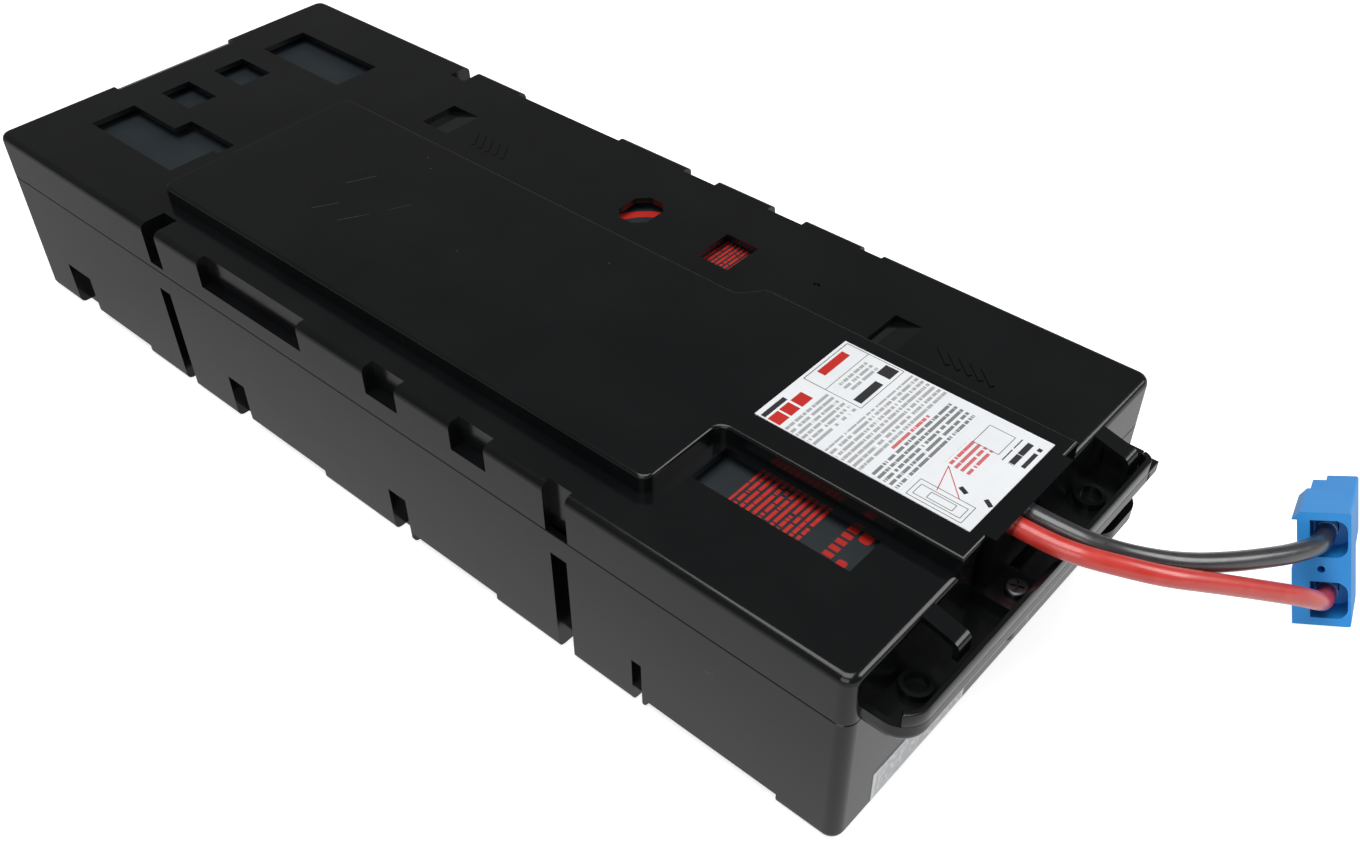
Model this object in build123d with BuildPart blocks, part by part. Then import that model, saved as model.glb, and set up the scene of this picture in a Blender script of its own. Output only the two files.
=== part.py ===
from build123d import *
import math
import os

# Battery cartridge for an uninterruptible power supply.
# Four sealed blocks lie on their sides in a tray under a snap-on cover, wired in series.
# Origin: centre of the foot plane. +Y runs to the back, -Y to the cable outlet, +Z up. Millimetres.

# Sealed blocks
block_length = 151.0
block_height = 94.0
block_thickness = 65.0
block_edge = 1.5
lid_depth = 7.0
lid_groove = 0.8
vent_length = 58.0
vent_width = 12.0
vent_rise = 0.6
terminal_inset = 20.5
terminal_drop = 13.0
blade_width = 6.3
blade_thickness = 0.8
blade_length = 7.9
terminal_foot = 10.0
terminal_foot_height = 0.8

# Room around the blocks
wall = 2.2
side_gap = 4.8
end_gap = 0.3
middle_gap = 0.4
terminal_gap = 24.3
top_gap = 3.1
foot_height = 1.8

# Case
tray_height = 55.0
corner_radius = 4.5
top_edge_radius = 2.8
bottom_edge_radius = 2.5
seam_chamfer = 0.3
foot_width = 20.0
relief_height = 4.5
rib_thickness = 1.6
rib_clearance = 0.3
rib_spread = 36.0
rim_root = 5.0
stop_height = 14.0
hold_inset = 5.0
hold_length = 30.0
rim_height = 3.0
rim_thickness = 1.2
rim_length = 26.0
rim_clearance = 0.2

# Side pockets
pocket_backing = 1.6
pocket_clearance = 0.6
wide_pocket_length = 58.0
wide_pocket_height = 11.6
narrow_pocket_length = 16.0
narrow_pocket_spread = 42.0
narrow_pocket_height = 10.8
key_slot_width = 8.5
key_slot_depth = 10.7
key_slot_height = 16.8
guide_width = 9.5
guide_depth = 3.5
tray_slot_width = 7.0
tray_slot_depth = 8.0
tray_slot_height = 46.0
notch_clearance = 0.9
notch_height = 20.5

# Wiring channel raised on the cover
channel_rise = 6.5
channel_wall = 2.0
channel_left = 66.0
channel_right = 22.5
label_right = 31.0
label_left = 32.5
label_length = 86.5
label_tail = 31.5
channel_jog = 7.0
channel_corner = 4.0
channel_edge_radius = 1.2

# Catch pockets, ribs beside them and scooped edge on the cover
catch_left = 37.0
catch_width = 17.5
catch_depth = 2.6
catch_backing = 1.4
catch_rear_offset = 34.3
catch_rear_length = 15.0
catch_front_offset = 26.0
catch_front_length = 11.0
grip_rear_offset = 6.3
grip_front_offset = -1.5
grip_pitch = 4.2
grip_length = 9.0
grip_width = 1.5
grip_rise = 0.4
scoop_width = 59.0

# Front basin with the cable outlet
basin_depth = 16.0
basin_left = 78.0
basin_right = 60.0
basin_bottom = 54.0
basin_lip = 61.5
basin_wall = 2.0
basin_left_corner = 9.0
basin_right_corner = 5.0
basin_bottom_radius = 4.0
tray_clearance = 0.3
ring_radius = 5.0
ring_bore = 3.6
ring_rise = 2.4
ring_left_inset = 18.5
ring_right_inset = 24.0
ring_setback = 5.8
slit_inset = 6.0
slit_width = 1.4
slit_height = 3.4
screw_pad_width = 15.0
screw_pad_top = 61.0
outlet_depth = 3.0
outlet_left = 20.5
outlet_slot = 4.5
outlet_base = 61.0
exit_clearance = 0.5
red_exit_x = -6.5
black_exit_x = 0.5
tab_offset = 47.5
tab_width = 6.2
tab_thickness = 2.0
tab_reach = 12.2
tab_end = 64.0
tab_bend = 3.0

# Screw, lug and labels
screw_x = -15.5
screw_y = 9.8
shank_diameter = 3.0
head_diameter = 7.2
head_height = 2.0
head_chamfer = 0.6
shank_clearance = 0.15
lug_drop = 0.3
lug_height = 7.2
lug_depth = 13.5
lug_width = 15.0
lug_corner = 4.0
lip_left = 30.0
lip_right = 56.0
lip_top = 48.5
lip_thickness = 4.5
lip_depth = 15.5
lip_corner = 8.0
label_thickness = 0.25
top_label_width = 47.0
top_label_length = 76.5
top_label_y = 42.6
front_label_x = -40.0
front_label_rise = 1.4
front_label_length = 50.0
front_label_height = 12.8

# Wires and plug
wire_diameter = 6.2
receptacle_width = 9.5
receptacle_depth = 9.0
receptacle_height = 9.0
receptacle_gap = 1.0
receptacle_slack = 0.15
plug_thickness = 17.0
plug_width = 37.0
plug_depth = 45.0
plug_edge = 0.8
plug_chamfer = 2.5
plug_low_step = 28.0
plug_low_width = 3.5
plug_high_step = 39.0
plug_high_width = 4.0
plug_rail_width = 15.9
plug_rail_depth = 1.6
plug_pin_hole = 2.3
hole_corner = 3.5
mouth_width = 9.5
mouth_thickness = 9.0
hole_width = 10.8
hole_height = 11.9
hole_pitch = 20.0
hole_depth = 14.0
hole_shift = 2.2
contact_shift = 1.0
contact_clearance = 0.3
contact_depth = 27.0
lead_insertion = 8.0
tongue_width = 7.0
tongue_thickness = 2.4
tongue_length = 12.0

# Derived sizes
box_width = block_length + 2 * (side_gap + wall)
box_length = 4 * block_height + 2 * terminal_gap + middle_gap + 2 * (end_gap + wall)
half_width = box_width / 2
front_y = (basin_depth - box_length) / 2
back_y = front_y + box_length
middle_y = (front_y + back_y) / 2
floor_z = foot_height + wall
block_top = floor_z + block_thickness
ceiling_z = block_top + top_gap
strip_z = ceiling_z + wall
channel_z = strip_z + channel_rise
terminal_z = block_top - terminal_drop
terminal_offset = block_length / 2 - terminal_inset
inner_half = half_width - wall
block_1 = front_y + wall + end_gap + block_height / 2
block_2 = block_1 + block_height + terminal_gap
block_3 = block_2 + block_height + middle_gap
block_4 = block_3 + block_height + terminal_gap
gap_a = (block_1 + block_2) / 2
gap_b = (block_3 + block_4) / 2
blocks = [(block_1, 1), (block_2, -1), (block_3, 1), (block_4, -1)]
pocket_depth = wall + side_gap - pocket_backing - pocket_clearance
notch_depth = wall + side_gap - pocket_backing - notch_clearance
wire_z = ceiling_z + wire_diameter / 2
row_1 = gap_a - terminal_gap / 2 + receptacle_gap + receptacle_depth / 2
row_2 = gap_a + terminal_gap / 2 - receptacle_gap - receptacle_depth / 2
row_3 = gap_b - terminal_gap / 2 + receptacle_gap + receptacle_depth / 2
row_4 = gap_b + terminal_gap / 2 - receptacle_gap - receptacle_depth / 2
wire_x = terminal_offset - receptacle_width / 2
channel_front = front_y + label_length
channel_back = gap_b + terminal_gap / 2
outlet_y = front_y - outlet_depth
basin_front = front_y - basin_depth
basin_floor = basin_bottom + wall
lug_top = basin_bottom - lug_drop
screw_place = (screw_x, front_y - screw_y)

os.makedirs("parts", exist_ok=True)


def finish(builder, name):
    """Names a finished piece and writes it out."""
    builder.part.label = name
    export_step(builder.part, f"parts/{name}.step")


def block_of(x0, x1, y0, y1, z0, z1, mode=Mode.ADD):
    """Adds or cuts a straight block between two corners."""
    with BuildSketch(Plane.XY.offset(z0)) as section:
        with Locations(((x0 + x1) / 2, (y0 + y1) / 2)):
            Rectangle(abs(x1 - x0), abs(y1 - y0))
    extrude(section.sketch, amount=z1 - z0, mode=mode)


def side_blocks(y, length, inner, outer, z0, z1, mode=Mode.ADD):
    """Adds or cuts the same block at both long sides, between two distances from the middle."""
    for side in (-1, 1):
        block_of(side * inner, side * outer, y - length / 2, y + length / 2, z0, z1, mode)


# Sealed blocks: case, lid line, vent strip between the terminals
def make_block(y, facing):
    """One sealed block on its side, its terminals towards facing times Y."""
    lid_y = y + facing * (block_height / 2 - lid_depth)
    face = Plane((0, y + facing * block_height / 2, block_top - block_thickness / 2), x_dir=(1, 0, 0),
                 z_dir=(0, facing, 0))
    with BuildPart() as block:
        with BuildSketch(Plane((0, y, floor_z))):
            Rectangle(block_length, block_height)
        extrude(amount=block_thickness)
        fillet(block.edges().filter_by(Axis.Z), block_edge)
        chamfer(block.faces().filter_by(Axis.Z).edges(), block_edge / 2)
        with BuildSketch(Plane((0, lid_y - lid_groove / 2, floor_z + block_thickness / 2), x_dir=(1, 0, 0),
                               z_dir=(0, 1, 0))):
            Rectangle(2 * block_length, 2 * block_thickness)
            Rectangle(block_length - 2 * lid_groove, block_thickness - 2 * lid_groove, mode=Mode.SUBTRACT)
        extrude(amount=lid_groove, mode=Mode.SUBTRACT)
        with BuildSketch(face):
            RectangleRounded(vent_length, vent_width, block_edge)
        extrude(amount=vent_rise)
    return block


for number, (y, facing) in enumerate(blocks, 1):
    finish(make_block(y, facing), f"battery_{number}")


# Blade terminals and their insulated push-on receptacles
def make_terminal(x, y, facing):
    """A flat blade on its foot, standing out from the block's end face."""
    face = Plane((x, y + facing * block_height / 2, terminal_z), x_dir=(1, 0, 0), z_dir=(0, facing, 0))
    with BuildPart() as terminal:
        with BuildSketch(face):
            Rectangle(terminal_foot, terminal_foot)
        extrude(amount=terminal_foot_height)
        with BuildSketch(face.offset(terminal_foot_height)):
            Rectangle(blade_thickness, blade_width)
        extrude(amount=blade_length - terminal_foot_height)
        tip = terminal.faces().sort_by(Axis.Y)[-1 if facing > 0 else 0]
        chamfer(tip.edges().filter_by(Axis.Z), blade_thickness / 4)
    return terminal


def make_receptacle(x, y, facing):
    """The insulated flag receptacle pushed on a blade; its wire leaves towards the middle."""
    face = Plane((x, y + facing * (block_height / 2 + receptacle_gap), terminal_z), x_dir=(1, 0, 0),
                 z_dir=(0, facing, 0))
    slot_depth = blade_length - receptacle_gap + receptacle_slack
    with BuildPart() as receptacle:
        with BuildSketch(face):
            Rectangle(receptacle_width, receptacle_height)
        extrude(amount=receptacle_depth)
        fillet(receptacle.edges().filter_by(Axis.Z), block_edge / 2)
        with BuildSketch(face):
            Rectangle(blade_thickness + 2 * receptacle_slack, blade_width + 2 * receptacle_slack)
        extrude(amount=slot_depth, mode=Mode.SUBTRACT)
    return receptacle


for number, (y, facing) in enumerate(blocks, 1):
    for pole, side in (("positive", -facing), ("negative", facing)):
        finish(make_terminal(side * terminal_offset, y, facing), f"battery_{number}_terminal_{pole}")
        finish(make_receptacle(side * terminal_offset, y, facing), f"receptacle_{number}_{pole}")


# Wires: straight runs joined by tangent arcs, each as large as its runs allow
def arc_radii(points):
    """The radius at each bend: 0.45 of the shorter run over the tangent of half the turn."""
    radii = []
    for before, here, after in zip(points, points[1:], points[2:]):
        run_in = Vector(*here) - Vector(*before)
        run_out = Vector(*after) - Vector(*here)
        half_turn = math.radians(run_in.get_angle(run_out)) / 2
        radii.append(0.45 * min(run_in.length, run_out.length) / math.tan(half_turn))
    return radii


def make_wire(points, name):
    """A round insulated wire along the points."""
    radii = arc_radii(points)
    with BuildPart() as wire:
        with BuildLine() as route:
            FilletPolyline(*points, radius=radii)
        path = route.wires()[0]
        with BuildSketch(Plane(origin=path @ 0, z_dir=path % 0)):
            Circle(wire_diameter / 2)
        sweep(path=path)
    section = math.pi * wire_diameter**2 / 4
    print(name, "radii", [round(r, 1) for r in radii], "length", round(path.length, 1),
          "volume ratio", round(wire.part.volume / (section * path.length), 4))
    finish(wire, name)


jumper_turn = 30.0
red_lane = 18.0
long_lane = 32.0
black_lane = 4.0
red_exit = (red_exit_x, outlet_y, wire_z)
black_exit = (black_exit_x, outlet_y, wire_z)
merge_back = 50.0
merge_front = 25.0

make_wire([(wire_x, row_1, terminal_z), (jumper_turn, row_1, terminal_z), (jumper_turn, row_2, terminal_z),
           (wire_x, row_2, terminal_z)], "jumper_1_2")
make_wire([(wire_x, row_3, terminal_z), (jumper_turn, row_3, terminal_z), (jumper_turn, row_4, terminal_z),
           (wire_x, row_4, terminal_z)], "jumper_3_4")
make_wire([(-wire_x, row_2, terminal_z), (-long_lane, row_2, terminal_z), (-long_lane, row_2, wire_z),
           (-long_lane, row_3, wire_z), (-long_lane, row_3, terminal_z), (-wire_x, row_3, terminal_z)],
          "jumper_2_3")
make_wire([(-wire_x, row_1, terminal_z), (-red_lane, row_1, terminal_z), (-red_lane, row_1, wire_z),
           (-red_lane, front_y + merge_back, wire_z), (red_exit[0], front_y + merge_front, wire_z), red_exit],
          "lead_red_inner")
make_wire([(-wire_x, row_4, terminal_z), (-black_lane, row_4, terminal_z), (-black_lane, row_4, wire_z),
           (-black_lane, front_y + merge_back - wire_diameter, wire_z),
           (black_exit[0], front_y + merge_front, wire_z), black_exit], "lead_black_inner")

# Plug: a two-pole housing turned about its mating axis, held in the air by the leads
plug_face = Plane(origin=(75.52, -276.06, 36.66), x_dir=(0.3009, -0.9036, 0.3049),
                  z_dir=(-0.9008, -0.1643, 0.4020))


def in_plug(along, across, height):
    """A point of the plug, from its own thickness, width and depth."""
    point = plug_face.from_local_coords(Vector(along, across, height))
    return (point.X, point.Y, point.Z)


black_points = [black_exit, (black_exit_x, outlet_y - 10.0, wire_z), (3.6, -231.0, 73.2),
                (12.0, -241.5, 69.2), (23.0, -250.0, 64.2), (36.0, -257.7, 59.6), (47.5, -263.6, 55.9),
                (58.6, -268.6, 52.2), (69.6, -272.2, 48.6), in_plug(contact_shift, hole_pitch / 2, 1.0),
                in_plug(contact_shift, hole_pitch / 2, -lead_insertion)]
red_points = [red_exit, (red_exit_x, outlet_y - 9.0, wire_z), (-4.2, -230.0, 71.0), (3.5, -239.2, 65.7),
              (14.0, -247.6, 59.8), (27.5, -257.0, 53.2), (40.0, -266.4, 47.0), (53.0, -275.6, 39.8),
              (63.4, -280.2, 33.2), in_plug(contact_shift, -hole_pitch / 2, 1.0),
              in_plug(contact_shift, -hole_pitch / 2, -lead_insertion)]
make_wire(black_points, "lead_black")
make_wire(red_points, "lead_red")

with BuildPart() as plug_housing:
    with BuildSketch(plug_face) as outline:
        Rectangle(plug_thickness, plug_width)
        chamfer(outline.vertices().group_by(Axis.X)[0].sort_by(Axis.Y)[-1], plug_chamfer)
        fillet(outline.vertices().group_by(Axis.X)[-1], plug_edge)
        with Locations((-plug_thickness / 2, plug_rail_width / 2)):
            Rectangle(2 * plug_rail_depth, plug_rail_width, mode=Mode.SUBTRACT)
    extrude(amount=-plug_depth)
    # Interlocking mating end: each half steps back on the side where the other stands out
    low_edge = plug_thickness / 2 - plug_low_width
    high_edge = low_edge - plug_high_width
    for turn in (1, -1):
        for reach, x0, x1 in ((plug_low_step, low_edge, plug_thickness / 2), (plug_high_step, high_edge, low_edge)):
            with BuildSketch(plug_face.offset(-reach)):
                with Locations((-turn * (x0 + x1) / 2, turn * plug_width / 4)):
                    Rectangle(x1 - x0, plug_width / 2)
            extrude(amount=reach - plug_depth, mode=Mode.SUBTRACT)
    # Wire holes, contact chambers and mouths, one above the other
    for side in (1, -1):
        with BuildSketch(plug_face) as hole:
            with Locations((hole_shift, side * hole_pitch / 2)):
                Rectangle(hole_width, hole_height)
            fillet(hole.vertices().group_by(Axis.X)[-1], hole_corner)
        extrude(amount=-hole_depth, mode=Mode.SUBTRACT)
        with BuildSketch(plug_face):
            with Locations((contact_shift, side * hole_pitch / 2)):
                Circle(wire_diameter / 2 + contact_clearance)
        extrude(amount=-contact_depth, mode=Mode.SUBTRACT)
        with BuildSketch(plug_face.offset(-contact_depth)):
            with Locations((contact_shift, side * hole_pitch / 2)):
                Rectangle(mouth_thickness, mouth_width)
        extrude(amount=contact_depth - plug_depth, mode=Mode.SUBTRACT)
    with BuildSketch(plug_face):
        Circle(plug_pin_hole / 2)
    extrude(amount=-plug_depth, mode=Mode.SUBTRACT)
finish(plug_housing, "plug_housing")

for side, name in ((1, "plug_contact_black"), (-1, "plug_contact_red")):
    with BuildPart() as contact:
        with BuildSketch(plug_face.offset(-lead_insertion)):
            with Locations((contact_shift, side * hole_pitch / 2)):
                Circle(wire_diameter / 2)
        extrude(amount=lead_insertion - contact_depth)
        with BuildSketch(plug_face.offset(-contact_depth)):
            with Locations((contact_shift, side * hole_pitch / 2)):
                Rectangle(tongue_thickness, tongue_width)
        extrude(amount=-tongue_length)
    finish(contact, name)

# Bottom tray: hollow, on two rows of feet, with slots and notches along both long sides
with BuildPart() as bottom_tray:
    with BuildSketch(Plane((0, middle_y, 0))):
        RectangleRounded(box_width, box_length, corner_radius)
    extrude(amount=tray_height)
    fillet(bottom_tray.faces().sort_by(Axis.Z)[0].edges(), bottom_edge_radius)
    chamfer(bottom_tray.faces().sort_by(Axis.Z)[-1].edges(), seam_chamfer)
    block_of(-inner_half, inner_half, front_y + wall, back_y - wall, floor_z, tray_height, Mode.SUBTRACT)

    # Raised underside between the two rows of feet
    foot_x = half_width - foot_width
    block_of(-foot_x, foot_x, front_y, back_y, 0, foot_height, Mode.SUBTRACT)

    # Ribs that centre the blocks, and stops that keep the terminal gaps open
    for y, facing in blocks:
        for end in (-1, 1):
            side_blocks(y + end * rib_spread, rib_thickness, block_length / 2 + rib_clearance, inner_half,
                        floor_z, tray_height - rim_root)
        stop_y = y + facing * (block_height / 2 + rib_clearance + rib_thickness / 2)
        block_of(-foot_x, foot_x, stop_y - rib_thickness / 2, stop_y + rib_thickness / 2, floor_z,
                 floor_z + stop_height)
        # Rim that the cover slips over
        rim_inner = inner_half - rim_thickness - rim_clearance
        side_blocks(y, rim_length, rim_inner, inner_half, tray_height - rim_root, tray_height)
        side_blocks(y, rim_length, rim_inner, rim_inner + rim_thickness, tray_height, tray_height + rim_height)

    # Tall slots at the terminal gaps, notches and low reliefs between, each with its own inner wall
    recesses = [(gap_a, tray_slot_width, tray_slot_depth, tray_slot_height),
                (gap_b, tray_slot_width, tray_slot_depth, tray_slot_height),
                (block_1 + 27.7, 4.0, notch_depth, notch_height),
                (block_2 + 22.7, 9.0, notch_depth, notch_height),
                (block_3 + 22.8, 10.0, notch_depth, notch_height),
                (block_4 + 16.3, 17.0, notch_depth, notch_height),
                (block_1 - 1.3, 53.0, notch_depth, relief_height),
                (block_2 - 4.3, 43.0, notch_depth, relief_height),
                (block_3 - 4.7, 45.0, notch_depth, relief_height),
                (block_4 - 11.2, 38.0, notch_depth, relief_height)]
    for y, length, depth, height in recesses:
        side_blocks(y, length + 2 * pocket_backing, half_width - depth - pocket_backing, inner_half, floor_z,
                    height + pocket_backing)
    for y, length, depth, height in recesses:
        side_blocks(y, length, half_width - depth, half_width, 0, height, Mode.SUBTRACT)

    # Lug for the cover screw and support lip under the basin's right end
    with BuildSketch(Plane.XY.offset(lug_top - lug_height)) as lug:
        with Locations((screw_x, front_y - lug_depth / 2)):
            Rectangle(lug_width, lug_depth)
        fillet(lug.vertices().group_by(Axis.Y)[0], lug_corner)
    extrude(amount=lug_height)
    with BuildSketch(Plane.XY.offset(lip_top - lip_thickness)) as lip:
        with Locations(((lip_left + lip_right) / 2, front_y - lip_depth / 2)):
            Rectangle(lip_right - lip_left, lip_depth)
        fillet(lip.vertices().group_by(Axis.Y)[0], lip_corner)
    extrude(amount=lip_thickness)
    with BuildSketch(Plane.XY.offset(lug_top)):
        with Locations(screw_place):
            Circle(shank_diameter / 2 + shank_clearance)
    extrude(amount=-lug_height, mode=Mode.SUBTRACT)
finish(bottom_tray, "bottom_tray")

# Outline of the raised wiring channel, wide over the blocks and narrow under the label
def channel_outline(inset):
    """The outline's corners, each moved inwards by the inset."""
    left = inset - channel_left
    right = channel_right - inset
    front = front_y + inset
    step = channel_front + inset
    back = channel_back - inset
    tail = channel_front + label_tail
    return [(inset - label_left, front), (label_right - inset, front), (label_right - inset, tail),
            (right, tail + channel_jog), (right, back), (left, back), (left, step), (inset - label_left, step)]


# Solid form of the front basin
with BuildPart() as basin_body:
    with BuildSketch(Plane.XY.offset(basin_bottom)) as basin:
        with Locations(((basin_right - basin_left) / 2, front_y - basin_depth / 2)):
            Rectangle(basin_right + basin_left, basin_depth)
        front_corners = basin.vertices().group_by(Axis.Y)[0].sort_by(Axis.X)
        fillet(front_corners[0], basin_left_corner)
        fillet(front_corners[1], basin_right_corner)
    extrude(amount=basin_lip - basin_bottom)
    under_edges = basin_body.faces().sort_by(Axis.Z)[0].edges().sort_by(Axis.Y)[:-1]
    fillet(under_edges, basin_bottom_radius)


# Top cover: one moulding with the wiring channel, pockets, windows, front basin and release tabs
with BuildPart() as top_cover:
    with BuildSketch(Plane((0, middle_y, tray_height))):
        RectangleRounded(box_width, box_length, corner_radius)
    extrude(amount=strip_z - tray_height)
    fillet(top_cover.faces().sort_by(Axis.Z)[-1].edges(), top_edge_radius)
    chamfer(top_cover.faces().sort_by(Axis.Z)[0].edges(), seam_chamfer)

    # Raised wiring channel
    with BuildSketch(Plane.XY.offset(strip_z - top_edge_radius)) as channel:
        with BuildLine():
            Polyline(*channel_outline(0), close=True)
        make_face()
        fillet(channel.vertices().group_by(Axis.Y)[1:], channel_corner)
    extrude(amount=channel_rise + top_edge_radius)
    fillet(top_cover.faces().sort_by(Axis.Z)[-1].edges(), channel_edge_radius)

    # Hollow inside, with a backing wall behind each side pocket
    block_of(-inner_half, inner_half, front_y + wall, back_y - wall, tray_height, ceiling_z, Mode.SUBTRACT)
    with BuildSketch(Plane.XY.offset(ceiling_z)):
        with BuildLine():
            Polyline(*channel_outline(channel_wall), close=True)
        make_face()
    extrude(amount=channel_z - channel_wall - ceiling_z, mode=Mode.SUBTRACT)
    pockets = [(gap_b, key_slot_width, key_slot_depth, strip_z - key_slot_height),
               (block_3 - 1.2, wide_pocket_length, pocket_depth - 0.7, strip_z - wide_pocket_height),
               (block_2 - narrow_pocket_spread / 2, narrow_pocket_length, pocket_depth,
                strip_z - narrow_pocket_height),
               (block_2 + narrow_pocket_spread / 2, narrow_pocket_length, pocket_depth,
                strip_z - narrow_pocket_height),
               (gap_a, guide_width, guide_depth, tray_height)]
    for y, length, depth, bottom in pockets:
        side_blocks(y, length + 2 * pocket_backing, half_width - depth - pocket_backing, inner_half,
                    max(bottom - pocket_backing, tray_height), ceiling_z)
    for y, length, depth, bottom in pockets:
        side_blocks(y, length, half_width - depth, half_width, bottom, strip_z, Mode.SUBTRACT)

    # Ribs that hold the blocks down
    hold_x = block_length / 2 - hold_inset
    for y, facing in blocks:
        side_blocks(y, hold_length, hold_x, hold_x + rib_thickness, block_top + rib_clearance, ceiling_z)

    # Windows over the blocks: left edge, right edge, middle and length
    for x0, x1, y, length in ((-53.0, -33.0, block_4 - 2.0, 57.0), (-33.0, -25.0, block_4 - 18.5, 30.0),
                              (33.7, 55.4, block_4 + 1.5, 52.0), (-19.5, -5.8, block_4 + 16.8, 20.5),
                              (6.9, 21.9, block_4 + 16.8, 20.5), (37.5, 55.0, block_2 - 19.5, 14.5),
                              (-51.0, -34.3, block_1 + 3.5, 58.0)):
        block_of(x0, x1, y - length / 2, y + length / 2, ceiling_z, strip_z, Mode.SUBTRACT)
    with BuildSketch(Plane.XY.offset(ceiling_z)) as cut_corners:
        with Locations((46.3, block_2 + 22.7)):
            Rectangle(17.5, 14.0)
        chamfer(cut_corners.vertices(), 4.0)
    extrude(amount=wall, mode=Mode.SUBTRACT)

    # Catch pockets, deepest at the back, each with a row of slanted grip ribs in front of it
    catches = [(block_3 + catch_rear_offset, catch_rear_length, block_3 + grip_rear_offset, 4.4, 35),
               (block_1 + catch_front_offset, catch_front_length, block_1 + grip_front_offset, 9.0, 50)]
    for catch_y, length, grip_y, grip_x, slant in catches:
        block_of(catch_left, catch_left + catch_width, catch_y - length / 2, catch_y + length / 2 + pocket_backing,
                 strip_z - catch_depth - catch_backing, ceiling_z)
        with BuildSketch(Plane((catch_left, catch_y, strip_z), x_dir=(0, 1, 0), z_dir=(1, 0, 0))):
            with BuildLine():
                Polyline((-length / 2, 0), (length / 2, -catch_depth), (length / 2, 0), close=True)
            make_face()
        extrude(amount=catch_width, mode=Mode.SUBTRACT)
        with BuildSketch(Plane.XY.offset(strip_z)):
            with Locations((catch_left + grip_x, grip_y)):
                with GridLocations(0, grip_pitch, 1, 5):
                    Rectangle(grip_length, grip_width, rotation=slant)
        extrude(amount=grip_rise)
    with BuildSketch(Plane.XY.offset(strip_z)):
        with Locations((50.5, gap_a + 3.2)):
            Circle(1.6)
    extrude(amount=-0.6, mode=Mode.SUBTRACT)

    # Scooped back edge
    with BuildSketch(Plane((-scoop_width / 2, back_y, strip_z), x_dir=(0, 1, 0), z_dir=(1, 0, 0))):
        with BuildLine():
            Polyline((-6.0, 0), (-2.4, -1.3), (0, -4.0), (1.0, -4.0), (1.0, 1.0), (-6.0, 1.0), close=True)
        make_face()
    extrude(amount=scoop_width, mode=Mode.SUBTRACT)

    # Front basin, open at the top, with a gap to the tray's wall and a slit near its right end
    add(basin_body.part)
    with BuildSketch(Plane.XY.offset(basin_floor)) as well:
        with Locations(((basin_right - basin_left) / 2, front_y - (basin_depth - basin_wall) / 2)):
            Rectangle(basin_right + basin_left - 2 * basin_wall, basin_depth - basin_wall)
        front_corners = well.vertices().group_by(Axis.Y)[0].sort_by(Axis.X)
        fillet(front_corners[0], basin_left_corner - basin_wall)
        fillet(front_corners[1], basin_right_corner - basin_wall)
    extrude(amount=basin_lip - basin_floor, mode=Mode.SUBTRACT)
    block_of(-basin_left, basin_right, front_y - tray_clearance, front_y, basin_bottom, tray_height, Mode.SUBTRACT)
    slit_x = basin_right - slit_inset
    slit_z = (basin_floor + basin_lip) / 2
    block_of(slit_x - slit_width / 2, slit_x + slit_width / 2, basin_front, basin_front + basin_wall,
             slit_z - slit_height / 2, slit_z + slit_height / 2, Mode.SUBTRACT)

    # Rings on the basin floor, and the pad under the cover screw
    with BuildSketch(Plane.XY.offset(basin_floor)):
        with Locations((ring_left_inset - basin_left, front_y - ring_setback),
                       (basin_right - ring_right_inset, front_y - ring_setback)):
            Circle(ring_radius)
            Circle(ring_bore, mode=Mode.SUBTRACT)
    extrude(amount=ring_rise)
    block_of(screw_x - screw_pad_width / 2, screw_x + screw_pad_width / 2, basin_front + basin_wall,
             front_y, basin_floor, screw_pad_top)
    with BuildSketch(Plane.XY.offset(screw_pad_top)):
        with Locations(screw_place):
            Circle(shank_diameter / 2 + shank_clearance)
    extrude(amount=basin_bottom - screw_pad_top, mode=Mode.SUBTRACT)

    # Cable outlet: a panel before the wall, a slot at each side of it and the opening for both leads
    block_of(-outlet_left, channel_right, outlet_y, front_y + wall, outlet_base, channel_z)
    for x0, x1 in ((-outlet_left - outlet_slot, -outlet_left), (channel_right, channel_right + outlet_slot)):
        block_of(x0, x1, front_y, front_y + wall, outlet_base, channel_z - 2 * channel_wall, Mode.SUBTRACT)
    exit_x0 = red_exit_x - wire_diameter / 2 - exit_clearance
    exit_x1 = black_exit_x + wire_diameter / 2 + exit_clearance
    block_of(exit_x0, exit_x1, outlet_y, front_y + wall, ceiling_z - exit_clearance, channel_z - channel_wall,
             Mode.SUBTRACT)

    # Release tabs: springy strips from the top edge, curling down into the basin
    for side in (-1, 1):
        tab_plane = Plane((side * tab_offset - tab_width / 2, front_y, 0), x_dir=(0, 1, 0), z_dir=(1, 0, 0))
        root_z = strip_z - 1.1
        bend_z = root_z - 3.2
        with BuildSketch(tab_plane):
            with BuildLine():
                FilletPolyline((wall, root_z), (0, root_z), (-tab_reach, bend_z), (-tab_reach, tab_end),
                               radius=tab_bend)
                offset(amount=tab_thickness, side=Side.LEFT)
            make_face()
        extrude(amount=tab_width)
finish(top_cover, "top_cover")

# Cover screw: pan head on the pad, shank down through the tray's lug
with BuildPart() as cover_screw:
    with BuildSketch(Plane((*screw_place, screw_pad_top))):
        Circle(head_diameter / 2)
    extrude(amount=head_height)
    chamfer(cover_screw.edges().group_by(Axis.Z)[-1], head_chamfer)
    with BuildSketch(Plane((*screw_place, screw_pad_top))):
        Circle(shank_diameter / 2)
    extrude(amount=lug_top - lug_height - screw_pad_top)
finish(cover_screw, "cover_screw")

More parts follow.
